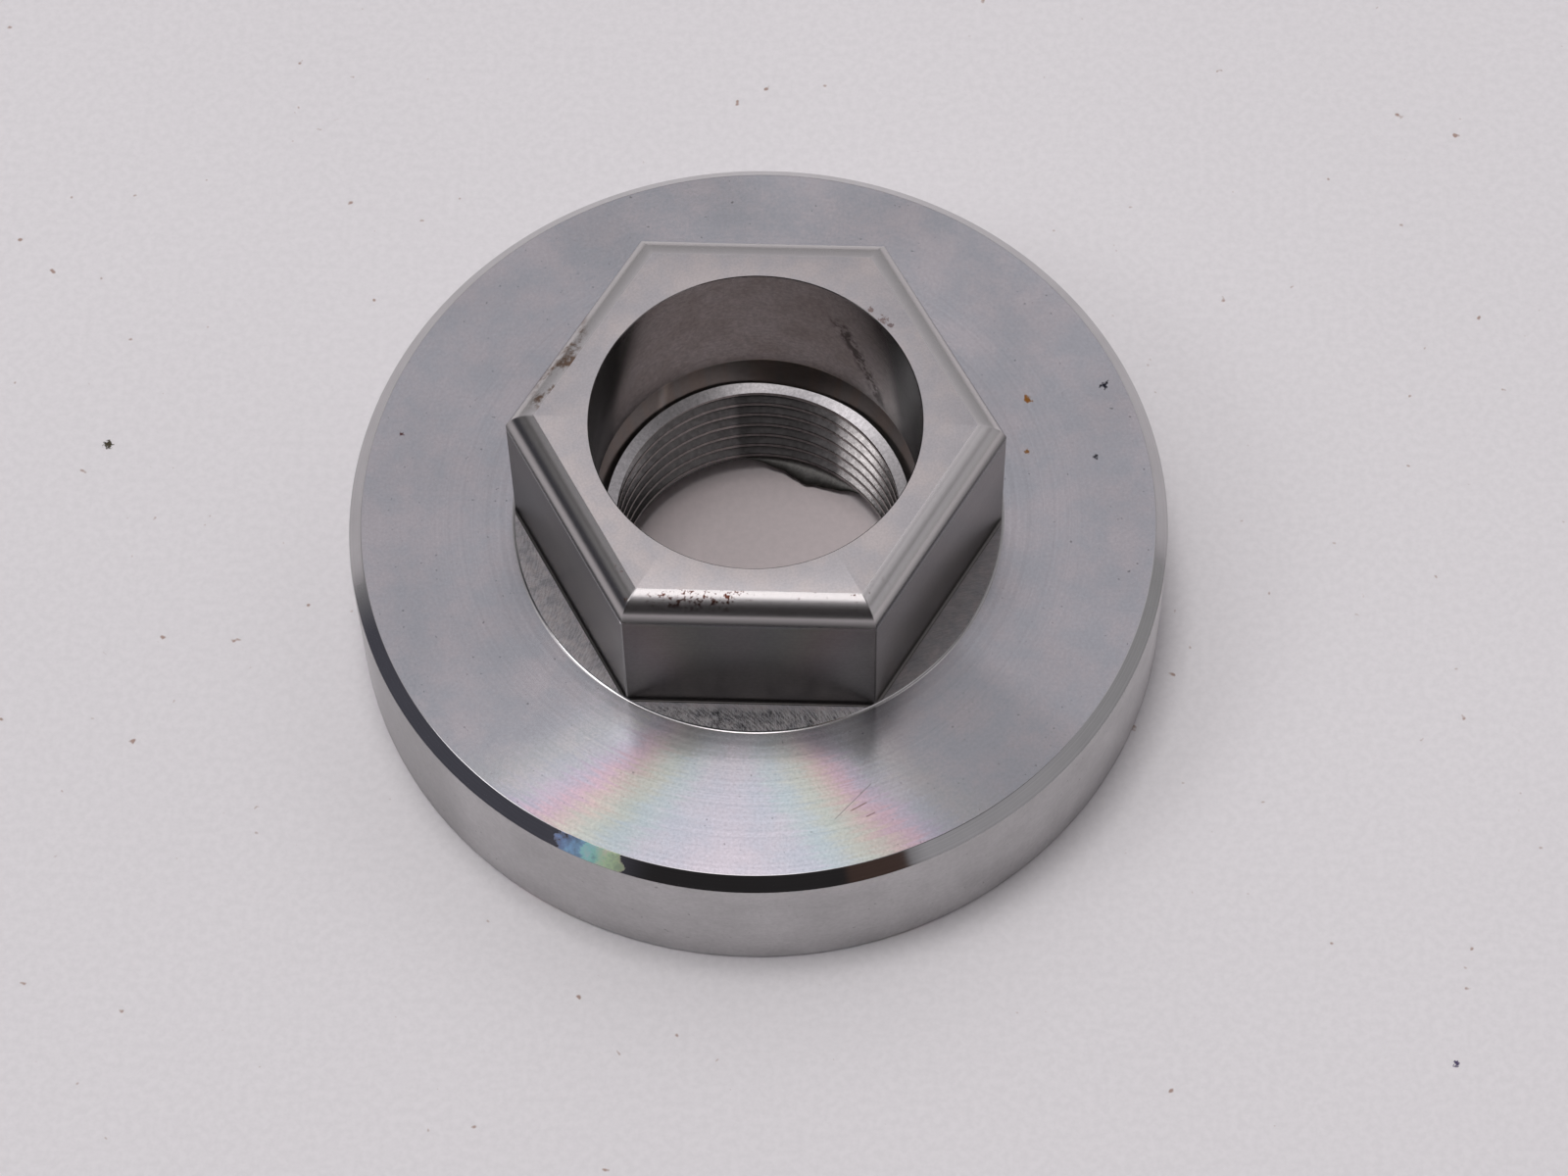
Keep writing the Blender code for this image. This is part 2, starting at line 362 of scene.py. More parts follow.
class Graph:
    """A node tree, with one short method for each kind of step used here."""

    def __init__(self, tree):
        self.tree = tree

    def node(self, kind, **settings):
        node = self.tree.nodes.new(kind)
        for name, value in settings.items():
            setattr(node, name, value)
        return node

    def feed(self, socket, value):
        if isinstance(value, bpy.types.NodeSocket):
            self.tree.links.new(value, socket)
        else:
            socket.default_value = value

    def feed_all(self, node, **values):
        """Feed each named input of a node, with underscores for the spaces in its name."""
        for name, value in values.items():
            self.feed(node.inputs[name.replace("_", " ")], value)

    def math(self, operation, *values):
        node = self.node("ShaderNodeMath", operation=operation)
        for socket, value in zip(node.inputs, values):
            self.feed(socket, value)
        return node.outputs[0]

    def times(self, first, second):
        return self.math("MULTIPLY", first, second)

    def minus(self, first, second):
        return self.math("SUBTRACT", first, second)

    def line(self, value, slope, level):
        """Value times slope, plus level."""
        return self.math("MULTIPLY_ADD", value, slope, level)

    def steer(self, value, swing, level):
        """The given level, plus a noise's distance from its middle times swing."""
        return self.line(self.minus(value, 0.5), swing, level)

    def smooth(self, value, low, high, floor=0.0, ceiling=1.0):
        """Map low to high onto floor to ceiling with a smooth start and end."""
        return self.map_range(value, low, high, floor, ceiling, interpolation_type="SMOOTHSTEP")

    def scale(self, value, low, high, floor=0.0, ceiling=1.0):
        """Map low to high onto floor to ceiling in a straight line, held at both ends."""
        return self.map_range(value, low, high, floor, ceiling)

    def map_range(self, *values, **settings):
        node = self.node("ShaderNodeMapRange", **settings)
        for socket, value in zip(node.inputs, values):
            self.feed(socket, value)
        return node.outputs[0]

    def soft_tone(self, noise, darkest, lightest):
        """A noise as a tone, over the whole range that noise usually has."""
        return self.scale(noise, 0.3, 0.7, darkest, lightest)

    def firm_tone(self, noise, darkest, lightest):
        """A noise as a tone, with more of it near the darkest and the lightest."""
        return self.scale(noise, 0.35, 0.65, darkest, lightest)

    def where(self, mask, level):
        """The given level inside a mask, and 1 outside it."""
        return self.scale(mask, 0.0, 1.0, 1.0, level)

    def band(self, value, low, high, soft):
        """1 between low and high, fading to 0 over soft on each side."""
        rise = self.smooth(value, low - soft, low + soft)
        fall = self.smooth(value, high - soft, high + soft, 1.0, 0.0)
        return self.times(rise, fall)

    def vector(self, x, y, z):
        node = self.node("ShaderNodeCombineXYZ")
        self.feed_all(node, X=x, Y=y, Z=z)
        return node.outputs[0]

    def noise(self, vector, scale, detail=3.0, roughness=0.7):
        node = self.node("ShaderNodeTexNoise")
        self.feed_all(node, Vector=vector, Scale=scale, Detail=detail, Roughness=roughness)
        return node.outputs["Fac"]

    def line_noise(self, position, scale, detail=3.0, roughness=0.7):
        """Noise along one number only, for marks left side by side."""
        node = self.node("ShaderNodeTexNoise", noise_dimensions="1D")
        self.feed_all(node, W=position, Scale=scale, Detail=detail, Roughness=roughness)
        return node.outputs["Fac"]

    def ramp(self, value, stops):
        """A colour for each (position, colour) stop, blended smoothly."""
        node = self.node("ShaderNodeValToRGB")
        elements = node.color_ramp.elements
        node.color_ramp.interpolation = "EASE"
        for index, (position, colour) in enumerate(stops):
            element = elements[index] if index < 2 else elements.new(position)
            element.position = position
            element.color = (*colour, 1.0)
        self.feed(node.inputs["Fac"], value)
        return node.outputs["Color"]

    def mix(self, factor, first, second, blend="MIX"):
        node = self.node("ShaderNodeMix", data_type="RGBA", blend_type=blend)
        self.feed(node.inputs[0], factor)
        for socket, colour in zip((node.inputs[6], node.inputs[7]), (first, second)):
            self.feed(socket, (*colour, 1.0) if isinstance(colour, tuple) else colour)
        return node.outputs[2]

    def bump(self, height, distance, normal=None):
        node = self.node("ShaderNodeBump")
        self.feed_all(node, Height=height, Strength=1.0, Distance=distance)
        if normal is not None:
            self.feed(node.inputs["Normal"], normal)
        return node.outputs["Normal"]


class Place:
    """Where a point on the nut is: x, y, height, distance from the axis, angle from the front towards +X."""

    def __init__(self, graph):
        self.graph = graph
        coordinates = graph.node("ShaderNodeTexCoord")
        split = graph.node("ShaderNodeSeparateXYZ")
        graph.feed(split.inputs[0], coordinates.outputs["Object"])
        self.point = coordinates.outputs["Object"]
        self.x, self.y, self.height = split.outputs
        squares = [graph.times(part, part) for part in (self.x, self.y)]
        self.radius = graph.math("SQRT", graph.math("ADD", *squares))
        forwards = graph.times(self.y, -1.0)
        self.turn = graph.math("ARCTAN2", self.x, forwards)
        self.degrees = graph.math("DEGREES", self.turn)

    def noise(self, scale, **settings):
        return self.graph.noise(self.point, scale, **settings)


def steel(name):
    """A new steel material: the material, its graph, its place inputs and its shader."""
    material = bpy.data.materials.new(name)
    material.use_nodes = True
    graph = Graph(material.node_tree)
    shader = material.node_tree.nodes["Principled BSDF"]
    shader.inputs["Metallic"].default_value = 1.0
    return material, graph, Place(graph), shader


def anisotropic(graph, shader, amount):
    """Stretch the highlights across marks that run round the Z axis."""
    tangent = graph.node("ShaderNodeTangent", direction_type="RADIAL", axis="Z")
    graph.feed_all(shader, Tangent=tangent.outputs[0], Anisotropic=amount, Anisotropic_Rotation=0.25)


def plain(graph, colour):
    """A colour as a node's output, for other nodes to tint."""
    node = graph.node("ShaderNodeRGB")
    node.outputs[0].default_value = (*colour, 1.0)
    return node.outputs[0]


def tinted(graph, colour, *tones):
    """A colour, darkened or lightened by each tone in turn."""
    if isinstance(colour, tuple):
        colour = plain(graph, colour)
    for tone in tones:
        colour = graph.mix(1.0, colour, graph.vector(tone, tone, tone), "MULTIPLY")
    return colour


def spot(graph, place, centre, size):
    """1 inside a small ragged spot round a point on the nut, and 0 away from it. Sizes are in millimetres."""
    offset = graph.node("ShaderNodeVectorMath", operation="DISTANCE")
    graph.feed(offset.inputs[0], place.point)
    offset.inputs[1].default_value = [part * MM for part in centre]
    edge = place.noise(scale=1.2 / (size * MM))
    reach = graph.soft_tone(edge, 0.2 * size * MM, 1.5 * size * MM)
    inside = graph.minus(reach, offset.outputs["Value"])
    return graph.scale(inside, 0.0, size * MM * 0.25)


def spotted(graph, place, colour, spots):
    """A colour with each (centre, size, shade) spot laid over it."""
    for centre, size, shade in spots:
        colour = graph.mix(spot(graph, place, centre, size), colour, shade)
    return colour


def scratch(graph, place, start, end, width):
    """1 along a straight scratch seen from above, and 0 away from it. Sizes are in millimetres."""
    start, end = Vector(start) * MM, Vector(end) * MM
    length = (end - start).length
    east, north = (end - start) / length
    x = graph.minus(place.x, start.x)
    y = graph.minus(place.y, start.y)
    along = graph.line(y, north, graph.times(x, east))
    across = graph.line(y, east, graph.times(x, -north))
    drift = place.noise(scale=1500.0)
    across = graph.steer(drift, 2 * width * MM, across)
    on_line = graph.band(across, -width * MM, width * MM, 0.5 * width * MM)
    return graph.times(on_line, graph.band(along, 0.0, length, width * MM))


# ---------------------------------------------------------------- materials

# Noise scales are in repeats per metre (or per degree), angles in degrees from the front, bumps in metres.
# The hexagon's three sides nearest the front:
FRONT_SIDE = (-30.0, 30.0)
LEFT_SIDE = (-90.0, -30.0)
RIGHT_SIDE = (30.0, 90.0)
SIDE_SOFT = 0.5

# The painted rainbow sheen on the turned face, standing in for the light its fine feed marks scatter: where
# it is, and its colours from its middle outwards
SHEEN_MIDDLE = -3.1
SHEEN_LEAN = 1000.0
SHEEN_START = 21.5 * MM
SHEEN_FROM, SHEEN_TO = -6.0, 32.0
SHEEN_STREAKS = 9.0
SHEEN = [
    (0.00, (0.98, 0.96, 1.01)),
    (0.16, (0.95, 0.98, 1.03)),
    (0.28, (0.90, 1.04, 1.03)),
    (0.39, (0.99, 1.07, 0.93)),
    (0.46, (1.09, 1.04, 0.90)),
    (0.51, (1.16, 0.97, 0.90)),
    (0.57, (1.17, 0.91, 0.98)),
    (0.65, (1.02, 0.95, 1.05)),
    (0.72, (0.97, 0.99, 1.01)),
    (0.82, (1.00, 1.01, 0.98)),
    (1.00, (1.00, 1.00, 1.00)),
]

# The turned face: its two tints, its feed marks, and its spots as (centre, size, shade) and scratches as
# (start, end, half width, shade) in millimetres
TURNED_BLUISH, TURNED_PINKISH = (0.487, 0.492, 0.525), (0.517, 0.492, 0.514)
TURNED_LEAN = 0.025
TURNED_BUMP = 0.0000002
TURNED_ROUGHNESS = (0.18, 0.23)
NEAR_BOSS = (23 * MM, 30 * MM)
BESIDE_BOSS = (22 * MM, 26 * MM)
FLANGE_SPOTS = [
    ((22.83, 11.74, 14.5), 0.42, (0.30, 0.13, 0.03)),
    ((22.87, 6.52, 14.5), 0.26, (0.28, 0.14, 0.05)),
    ((29.50, 13.27, 14.5), 0.45, (0.02, 0.02, 0.03)),
    ((28.75, 6.19, 14.5), 0.26, (0.06, 0.06, 0.07)),
    ((-30.93, 6.87, 14.5), 0.22, (0.10, 0.03, 0.03)),
]
FLANGE_SCRATCHES = [
    ((10.2, -25.3), (7.3, -28.6), 0.03, (0.24, 0.23, 0.225)),
    ((8.6, -27.8), (9.9, -27.0), 0.045, (0.22, 0.14, 0.12)),
    ((9.9, -28.3), (10.6, -27.9), 0.045, (0.22, 0.14, 0.12)),
]

# Painted light and shade in stretches of the face, all the way out and beside the boss: from, to, softness,
# tone
FACE_PAINTED_LIGHT_AND_SHADE = ((-37.0, -23.0, 5.0, 1.22), (28.0, 54.0, 4.0, 0.84))
BOSS_SIDE_PAINTED_LIGHT = ((-28.0, -17.0, 5.0, 1.75), (18.0, 27.0, 4.0, 1.55))


def rainbow(graph, place, from_middle):
    """A painted sheen, coloured and partly lighter, as light makes on fine feed marks: bands of colour that
    fan out either side of the front.
    """
    swirl = graph.vector(place.turn, graph.times(place.radius, 600.0), 0.0)
    streaks = graph.noise(swirl, scale=4.0)
    outwards = graph.minus(place.radius, SHEEN_START)
    angle = graph.line(outwards, -SHEEN_LEAN, from_middle)
    angle = graph.steer(streaks, SHEEN_STREAKS, angle)
    sheen = graph.ramp(graph.scale(angle, SHEEN_FROM, SHEEN_TO), SHEEN)
    strength = graph.smooth(outwards, -1.5 * MM, 5 * MM, 0.25, 1.0)
    return graph.mix(strength, (1.0, 1.0, 1.0), sheen)


def turned_face_painted_light_and_shade(graph, place):
    """Painted light and shade on the turned face: painted shade at the back, and lighter and darker painted
    stretches round it and beside the boss.
    """
    beside_boss = graph.smooth(place.radius, *BESIDE_BOSS, 1.0, 0.0)
    # Painted shade over the back of the face, then the painted stretches
    tones = [graph.smooth(graph.math("ABSOLUTE", place.degrees), 135.0, 165.0, 1.0, 0.88)]
    for start, end, soft, tone in FACE_PAINTED_LIGHT_AND_SHADE:
        tones.append(graph.where(graph.band(place.degrees, start, end, soft), tone))
    for start, end, soft, tone in BOSS_SIDE_PAINTED_LIGHT:
        stretch = graph.times(graph.band(place.degrees, start, end, soft), beside_boss)
        tones.append(graph.where(stretch, tone))
    return tones


def turned_face_material():
    """Fine-turned face: concentric tool marks, a soft painted rainbow sheen at the front, painted light and
    shade round it, faint handling marks.
    """
    material, graph, place, shader = steel("steel_turned_face")
    from_middle = graph.math("ABSOLUTE", graph.math("ADD", place.degrees, -SHEEN_MIDDLE))
    front = graph.smooth(from_middle, 18.0, 42.0, 1.0, 0.0)
    near_boss = graph.smooth(place.radius, *NEAR_BOSS, 1.0, 0.15)
    rings = graph.line_noise(place.radius, scale=2400.0, detail=3.0, roughness=0.75)
    cloud = place.noise(scale=130.0, detail=5.0, roughness=0.65)
    hue = place.noise(scale=260.0, detail=4.0, roughness=0.65)
    grain = place.noise(scale=3800.0, detail=2.0, roughness=0.7)
    dust = place.noise(scale=2600.0, detail=1.0, roughness=0.5)
    # The rings and grain are real marks, and their stronger contrast at the front is a painted glint in the
    # sheen
    ring_swing = graph.line(front, 0.2, graph.times(near_boss, 0.28))
    grain_swing = graph.scale(front, 0.0, 1.0, 0.25, 0.5)
    colour = graph.mix(graph.scale(hue, 0.38, 0.62), TURNED_BLUISH, TURNED_PINKISH)
    # Painted light: the rainbow sheen laid over the steel's tints
    colour = graph.mix(1.0, rainbow(graph, place, from_middle), colour, "MULTIPLY")
    colour = tinted(graph, colour, graph.steer(rings, ring_swing, 1.0),
                    graph.scale(cloud, 0.36, 0.64, 0.93, 1.05), graph.steer(grain, grain_swing, 1.0),
                    graph.scale(dust, 0.765, 0.785, 1.0, 0.55), *turned_face_painted_light_and_shade(graph, place))
    colour = spotted(graph, place, colour, FLANGE_SPOTS)
    for start, end, width, shade in FLANGE_SCRATCHES:
        colour = graph.mix(scratch(graph, place, start, end, width), colour, shade)
    roughness = graph.soft_tone(cloud, *TURNED_ROUGHNESS)
    marks = graph.times(rings, near_boss)
    normal = graph.bump(marks, TURNED_BUMP, leaning_normal(graph, place, TURNED_LEAN))
    graph.feed_all(shader, Base_Color=colour, Roughness=roughness, Normal=normal)
    anisotropic(graph, shader, 0.85)
    return material


def leaning_normal(graph, place, amount):
    """The surface normal, leaning outwards: the feed marks' outer flanks are the longer ones."""
    def vector_math(operation, first):
        node = graph.node("ShaderNodeVectorMath", operation=operation)
        graph.feed(node.inputs[0], first)
        return node

    geometry = graph.node("ShaderNodeNewGeometry")
    outwards = vector_math("NORMALIZE", graph.vector(place.x, place.y, 0.0))
    lean = vector_math("SCALE", outwards.outputs[0])
    lean.inputs["Scale"].default_value = amount
    total = vector_math("ADD", geometry.outputs["Normal"])
    graph.feed(total.inputs[1], lean.outputs[0])
    return vector_math("NORMALIZE", total.outputs[0]).outputs[0]


CHAMFER_STEEL = (0.56, 0.55, 0.555)
CHAMFER_ROUGHNESS, PATCH_ROUGHNESS = 0.06, 0.7
PATCH_FROM, PATCH_TO = -26.5, -17.5
# Painted rainbow sheen tints across the patch, by angle
PAINTED_SHEEN_TINTS = [
    (0.0, (0.36, 0.42, 0.66)),
    (0.3, (0.48, 0.72, 0.95)),
    (0.5, (0.60, 1.00, 0.95)),
    (0.75, (0.82, 1.00, 0.74)),
    (1.0, (1.00, 0.98, 0.70)),
]


def chamfer_material():
    """Near-mirror cut, with one rougher patch at the front left, tinted with a painted rainbow sheen."""
    material, graph, place, shader = steel("steel_chamfer")
    lines = graph.line_noise(place.height, scale=9000.0, detail=2.0, roughness=0.5)
    film = place.noise(scale=300.0, detail=3.0, roughness=0.6)
    ragged = place.noise(scale=900.0)
    tones = (graph.soft_tone(lines, 0.93, 1.04), graph.soft_tone(film, 0.94, 1.03))
    colour = tinted(graph, CHAMFER_STEEL, *tones)
    angle = graph.steer(ragged, 6.0, place.degrees)
    in_patch = graph.band(angle, PATCH_FROM, PATCH_TO, 0.5)
    # The patch's colour is a painted rainbow sheen
    tint = graph.ramp(graph.scale(angle, PATCH_FROM - 0.5, PATCH_TO + 1.0), PAINTED_SHEEN_TINTS)
    tint = tinted(graph, tint, graph.soft_tone(ragged, 0.75, 1.2))
    roughness = graph.scale(in_patch, 0.0, 1.0, CHAMFER_ROUGHNESS, PATCH_ROUGHNESS)
    graph.feed_all(shader, Base_Color=graph.mix(in_patch, colour, tint), Roughness=roughness)
    return material


RIM_STEEL = (0.53, 0.518, 0.522)
RIM_DARKER_FROM, RIM_DARKER_TO = -68.0, -45.0
RIM_BUMP = 0.0000006


def flange_wall_material():
    """Satin turned rim: fine level lines, with soft stains, and darker over a stretch at the front left."""
    material, graph, place, shader = steel("steel_turned_rim")
    lines = graph.line_noise(place.height, scale=7000.0)
    stains = place.noise(scale=130.0, detail=5.0, roughness=0.65)
    grain = place.noise(scale=2400.0, detail=2.0, roughness=0.7)
    dust = place.noise(scale=2000.0, detail=1.0, roughness=0.5)
    # A plain darker stretch of the rim at the front left
    darker_front_left = graph.where(graph.band(place.degrees, RIM_DARKER_FROM, RIM_DARKER_TO, 4.0), 0.8)
    colour = tinted(graph, RIM_STEEL, darker_front_left, graph.scale(lines, 0.25, 0.75, 0.94, 1.04),
                    graph.scale(stains, 0.36, 0.64, 0.84, 1.06), graph.firm_tone(grain, 0.94, 1.05),
                    graph.scale(dust, 0.75, 0.78, 1.0, 0.6))
    roughness = graph.soft_tone(stains, 0.28, 0.36)
    graph.feed_all(shader, Base_Color=colour, Roughness=roughness, Normal=graph.bump(lines, RIM_BUMP))
    anisotropic(graph, shader, 0.6)
    return material


BURNISHED_STEEL = (0.86, 0.84, 0.84)
# Painted highlight on the line: its middle, where it starts to fade and where it has faded
HIGHLIGHT_MIDDLE = -5.0
HIGHLIGHT_END, HIGHLIGHT_FADED = 42.0, 66.0


def boss_edge_material():
    """Burnished line left by the tool's nose, with a painted highlight that makes it brightest at the front.
    """
    material, graph, place, shader = steel("steel_boss_edge")
    lines = place.noise(scale=3000.0, detail=2.0, roughness=0.5)
    from_middle = graph.math("ABSOLUTE", graph.math("ADD", place.degrees, -HIGHLIGHT_MIDDLE))
    painted_highlight = graph.smooth(from_middle, HIGHLIGHT_END, HIGHLIGHT_FADED, 1.0, 0.4)
    colour = tinted(graph, BURNISHED_STEEL, graph.soft_tone(lines, 0.94, 1.04), painted_highlight)
    graph.feed_all(shader, Base_Color=colour, Roughness=0.1)
    return material


def side_coordinates(graph, place):
    """How far along and out a point is on its own side of the hexagon."""
    off = graph.math("WRAP", place.turn, math.pi / 6, -math.pi / 6)
    along = graph.times(place.radius, graph.math("SINE", off))
    out = graph.times(place.radius, graph.math("COSINE", off))
    return along, out


# The strokes: their direction along and out from a side, how much they curve, and how far they are drawn out
STROKE_ALONG, STROKE_OUT = 0.72, 0.69
STROKE_CURVE = 14.0
STROKE_SQUEEZE, FINE_SQUEEZE = 0.16, 0.2
STEP_BLUISH, STEP_PINKISH = (0.43, 0.416, 0.43), (0.445, 0.41, 0.412)

# Painted light and shade on the milled step: its tone everywhere, and the painted light that the left and
# front sides add
STEP_TONE, STEP_PAINTED_LIGHT_LEFT, STEP_PAINTED_LIGHT_FRONT = 1.0, 0.9, 1.0
# Painted shade across the front side, deepening away from the hexagon, and the least tone the step can get
STEP_PAINTED_SHADE_OUTER = -0.35
STEP_LEAST_TONE = 0.12
STEP_OUTER = (0.5 * MM, 1.1 * MM)
STEP_BUMP = 0.000008


def boss_face_material():
    """End-milled segments: short swirled strokes crossing each strip, strongest at the front, with painted
    light on the left and front sides and painted shade towards the front's outer edge.
    """
    material, graph, place, shader = steel("steel_milled_step")
    along, out = side_coordinates(graph, place)
    off_hexagon = graph.minus(out, HEX_HALF_WIDTH)
    down = graph.line(off_hexagon, STROKE_OUT, graph.times(along, STROKE_ALONG))
    across = graph.line(off_hexagon, -STROKE_ALONG, graph.times(along, STROKE_OUT))
    across = graph.line(graph.times(down, down), STROKE_CURVE, across)
    long_strokes = graph.vector(graph.times(down, STROKE_SQUEEZE), across, place.turn)
    fine_strokes = graph.vector(graph.times(down, FINE_SQUEEZE), across, 0.0)
    strokes = graph.scale(graph.noise(long_strokes, scale=2500.0, detail=3.0, roughness=0.65), 0.43, 0.57)
    fine = graph.scale(graph.noise(fine_strokes, scale=6500.0, detail=2.0, roughness=0.5), 0.4, 0.6)
    blotches = place.noise(scale=900.0, detail=4.0, roughness=0.7)
    front = graph.band(place.degrees, *FRONT_SIDE, 2 * SIDE_SOFT)
    left = graph.band(place.degrees, *LEFT_SIDE, 2 * SIDE_SOFT)
    outer = graph.smooth(off_hexagon, *STEP_OUTER)
    # Painted light and shade: lighter on the left and front sides, darker across the front away from the
    # hexagon
    front_painted_light_and_shade = graph.line(outer, STEP_PAINTED_SHADE_OUTER, STEP_PAINTED_LIGHT_FRONT)
    tone = graph.line(left, STEP_PAINTED_LIGHT_LEFT, STEP_TONE)
    tone = graph.line(front, front_painted_light_and_shade, tone)
    swing = graph.line(graph.times(front, outer), 1.0, 0.25)
    swing = graph.line(left, 0.15, swing)
    pattern = graph.steer(blotches, 2.5, graph.minus(strokes, 0.5))
    pattern = graph.steer(fine, 0.6, pattern)
    tone = graph.times(tone, graph.line(pattern, swing, 1.0))
    colour = graph.mix(graph.scale(blotches, 0.4, 0.6), STEP_BLUISH, STEP_PINKISH)
    colour = tinted(graph, colour, graph.math("MAXIMUM", tone, STEP_LEAST_TONE))
    roughness = graph.line(front, 0.26, 0.34)
    graph.feed_all(shader, Base_Color=colour, Roughness=roughness, Normal=graph.bump(strokes, STEP_BUMP))
    return material


SIDE_STEEL = (0.405, 0.38, 0.368)
# Painted shade on the three sides nearest the front: darkest on the left, then the front, least on the right
SIDE_PAINTED_SHADE = ((FRONT_SIDE, 0.72), (LEFT_SIDE, 0.45), (RIGHT_SIDE, 0.98))
SATIN_ROUGHNESS = (0.285, 0.32)
# Painted shade that changes up the sides, darker towards their foot: from one height to another, from one
# tone to another
SIDE_FOOT_PAINTED_SHADE = (14.6 * MM, 24 * MM, 0.4, 1.0)


def hex_side_material():
    """Side-milled flats under a faint mottled film, with painted shade that darkens them towards their foot
    and most on the left side.
    """
    material, graph, place, shader = steel("steel_milled_side")
    feed = graph.line_noise(place.height, scale=5000.0, detail=3.0, roughness=0.6)
    film = place.noise(scale=160.0, detail=4.0, roughness=0.6)
    grain = place.noise(scale=3200.0, detail=2.0, roughness=0.6)
    # Painted shade: lower darkens the sides towards their foot, and sides gives each side its own painted
    # shade
    lower = graph.scale(place.height, *SIDE_FOOT_PAINTED_SHADE)
    sides = [graph.where(graph.band(place.degrees, *side, SIDE_SOFT), tone) for side, tone in SIDE_PAINTED_SHADE]
    colour = tinted(graph, SIDE_STEEL, graph.soft_tone(feed, 0.96, 1.03), lower, *sides,
                    graph.soft_tone(film, 0.94, 1.05), graph.firm_tone(grain, 0.94, 1.05))
    graph.feed_all(shader, Base_Color=colour, Roughness=graph.soft_tone(film, *SATIN_ROUGHNESS))
    return material


ROUNDING_STEEL = (0.68, 0.655, 0.65)
# Painted light and shade that change up the rounding, given as for the sides: painted shade low down all
# round, painted light just at its foot, and on the left side painted light low down and painted shade higher
# up
ROUNDING_PAINTED_SHADE = (28.7 * MM, 29.9 * MM, 0.22, 1.0)
ROUNDING_FOOT_PAINTED_LIGHT = (28.3 * MM, 28.75 * MM, 2.8, 1.0)
ROUNDING_LEFT_PAINTED_LIGHT_AND_SHADE = (28.8 * MM, 30.0 * MM, 1.5, 0.4)
# Painted shade over the back half
BACK_HALF_PAINTED_SHADE = 0.85
PIT_SHADE = (0.14, 0.05, 0.035)
PIT_HEIGHT = (29.7 * MM, 30.1 * MM)
PIT_FRONT = (-14 * MM, -13 * MM)
PIT_CROWD = (-7.5 * MM, -1.0 * MM, 2.0 * MM)
PIT_LIMIT, PIT_CROWDED_LIMIT = 0.64, 0.535
STAIN_SHADE = (0.20, 0.135, 0.10)
STAIN_X = (-18.6 * MM, -14.6 * MM, 0.6 * MM)
STAIN_Y = (0.2 * MM, 1.2 * MM)


def hex_rounding_material():
    """Form-cut edges: bright at the top over painted shade lower down, with painted light at the foot,
    painted light and shade on the left, painted shade on the back half, rusty pits at the front and a stain
    at the back left.
    """
    material, graph, place, shader = steel("steel_formed_edge")
    streaks = graph.line_noise(place.height, scale=8000.0)
    grain = place.noise(scale=2200.0)
    # Painted light and shade: film is painted shade low on the rounding, foot is painted light at its foot,
    # and back is painted shade over the back half
    film = graph.smooth(place.height, *ROUNDING_PAINTED_SHADE)
    foot = graph.smooth(place.height, *ROUNDING_FOOT_PAINTED_LIGHT)
    left_painted_light_and_shade = graph.smooth(place.height, *ROUNDING_LEFT_PAINTED_LIGHT_AND_SHADE)
    on_left = graph.band(place.degrees, *LEFT_SIDE, SIDE_SOFT)
    left = graph.line(on_left, graph.minus(left_painted_light_and_shade, 1.0), 1.0)
    back = graph.smooth(graph.math("ABSOLUTE", place.degrees), 88.0, 92.0, 1.0, BACK_HALF_PAINTED_SHADE)
    colour = tinted(graph, ROUNDING_STEEL, graph.soft_tone(streaks, 0.98, 1.02),
                    graph.soft_tone(grain, 0.98, 1.02), film, foot, left, back)
    colour = graph.mix(rust_pits(graph, place), colour, PIT_SHADE)
    stain = graph.times(graph.band(place.x, *STAIN_X), graph.smooth(place.y, *STAIN_Y))
    blotches = place.noise(scale=700.0, detail=4.0, roughness=0.7)
    stain = graph.times(stain, graph.scale(blotches, 0.46, 0.6))
    graph.feed_all(shader, Base_Color=graph.mix(stain, colour, STAIN_SHADE), Roughness=0.25)
    return material


def rust_pits(graph, place):
    """1 in the pits along the top of the front edge, crowded to the left of its middle, and 0 elsewhere."""
    upper = graph.smooth(place.height, *PIT_HEIGHT)
    front = graph.smooth(place.y, *PIT_FRONT, 1.0, 0.0)
    speckle = place.noise(scale=2600.0, detail=3.0, roughness=0.75)
    crowded = graph.band(place.x, *PIT_CROWD)
    limit = graph.scale(crowded, 0.0, 1.0, PIT_LIMIT, PIT_CROWDED_LIMIT)
    pits = graph.scale(graph.minus(speckle, limit), 0.0, 0.04)
    return graph.times(graph.times(pits, upper), front)


END_GREY, END_PINKISH = (0.555, 0.532, 0.545), (0.585, 0.538, 0.53)
# Painted light and shade across the end: lighter at the left, darker at the right
END_PAINTED_LIGHT_TO_SHADE = (-14 * MM, 14 * MM, 1.025, 0.965)
END_SPOTS = [
    ((9.22, 10.8, 30.6), 0.35, (0.28, 0.22, 0.21)),
    ((10.3, 9.9, 30.6), 0.5, (0.28, 0.22, 0.21)),
    ((10.9, 9.3, 30.6), 0.3, (0.25, 0.2, 0.2)),
]


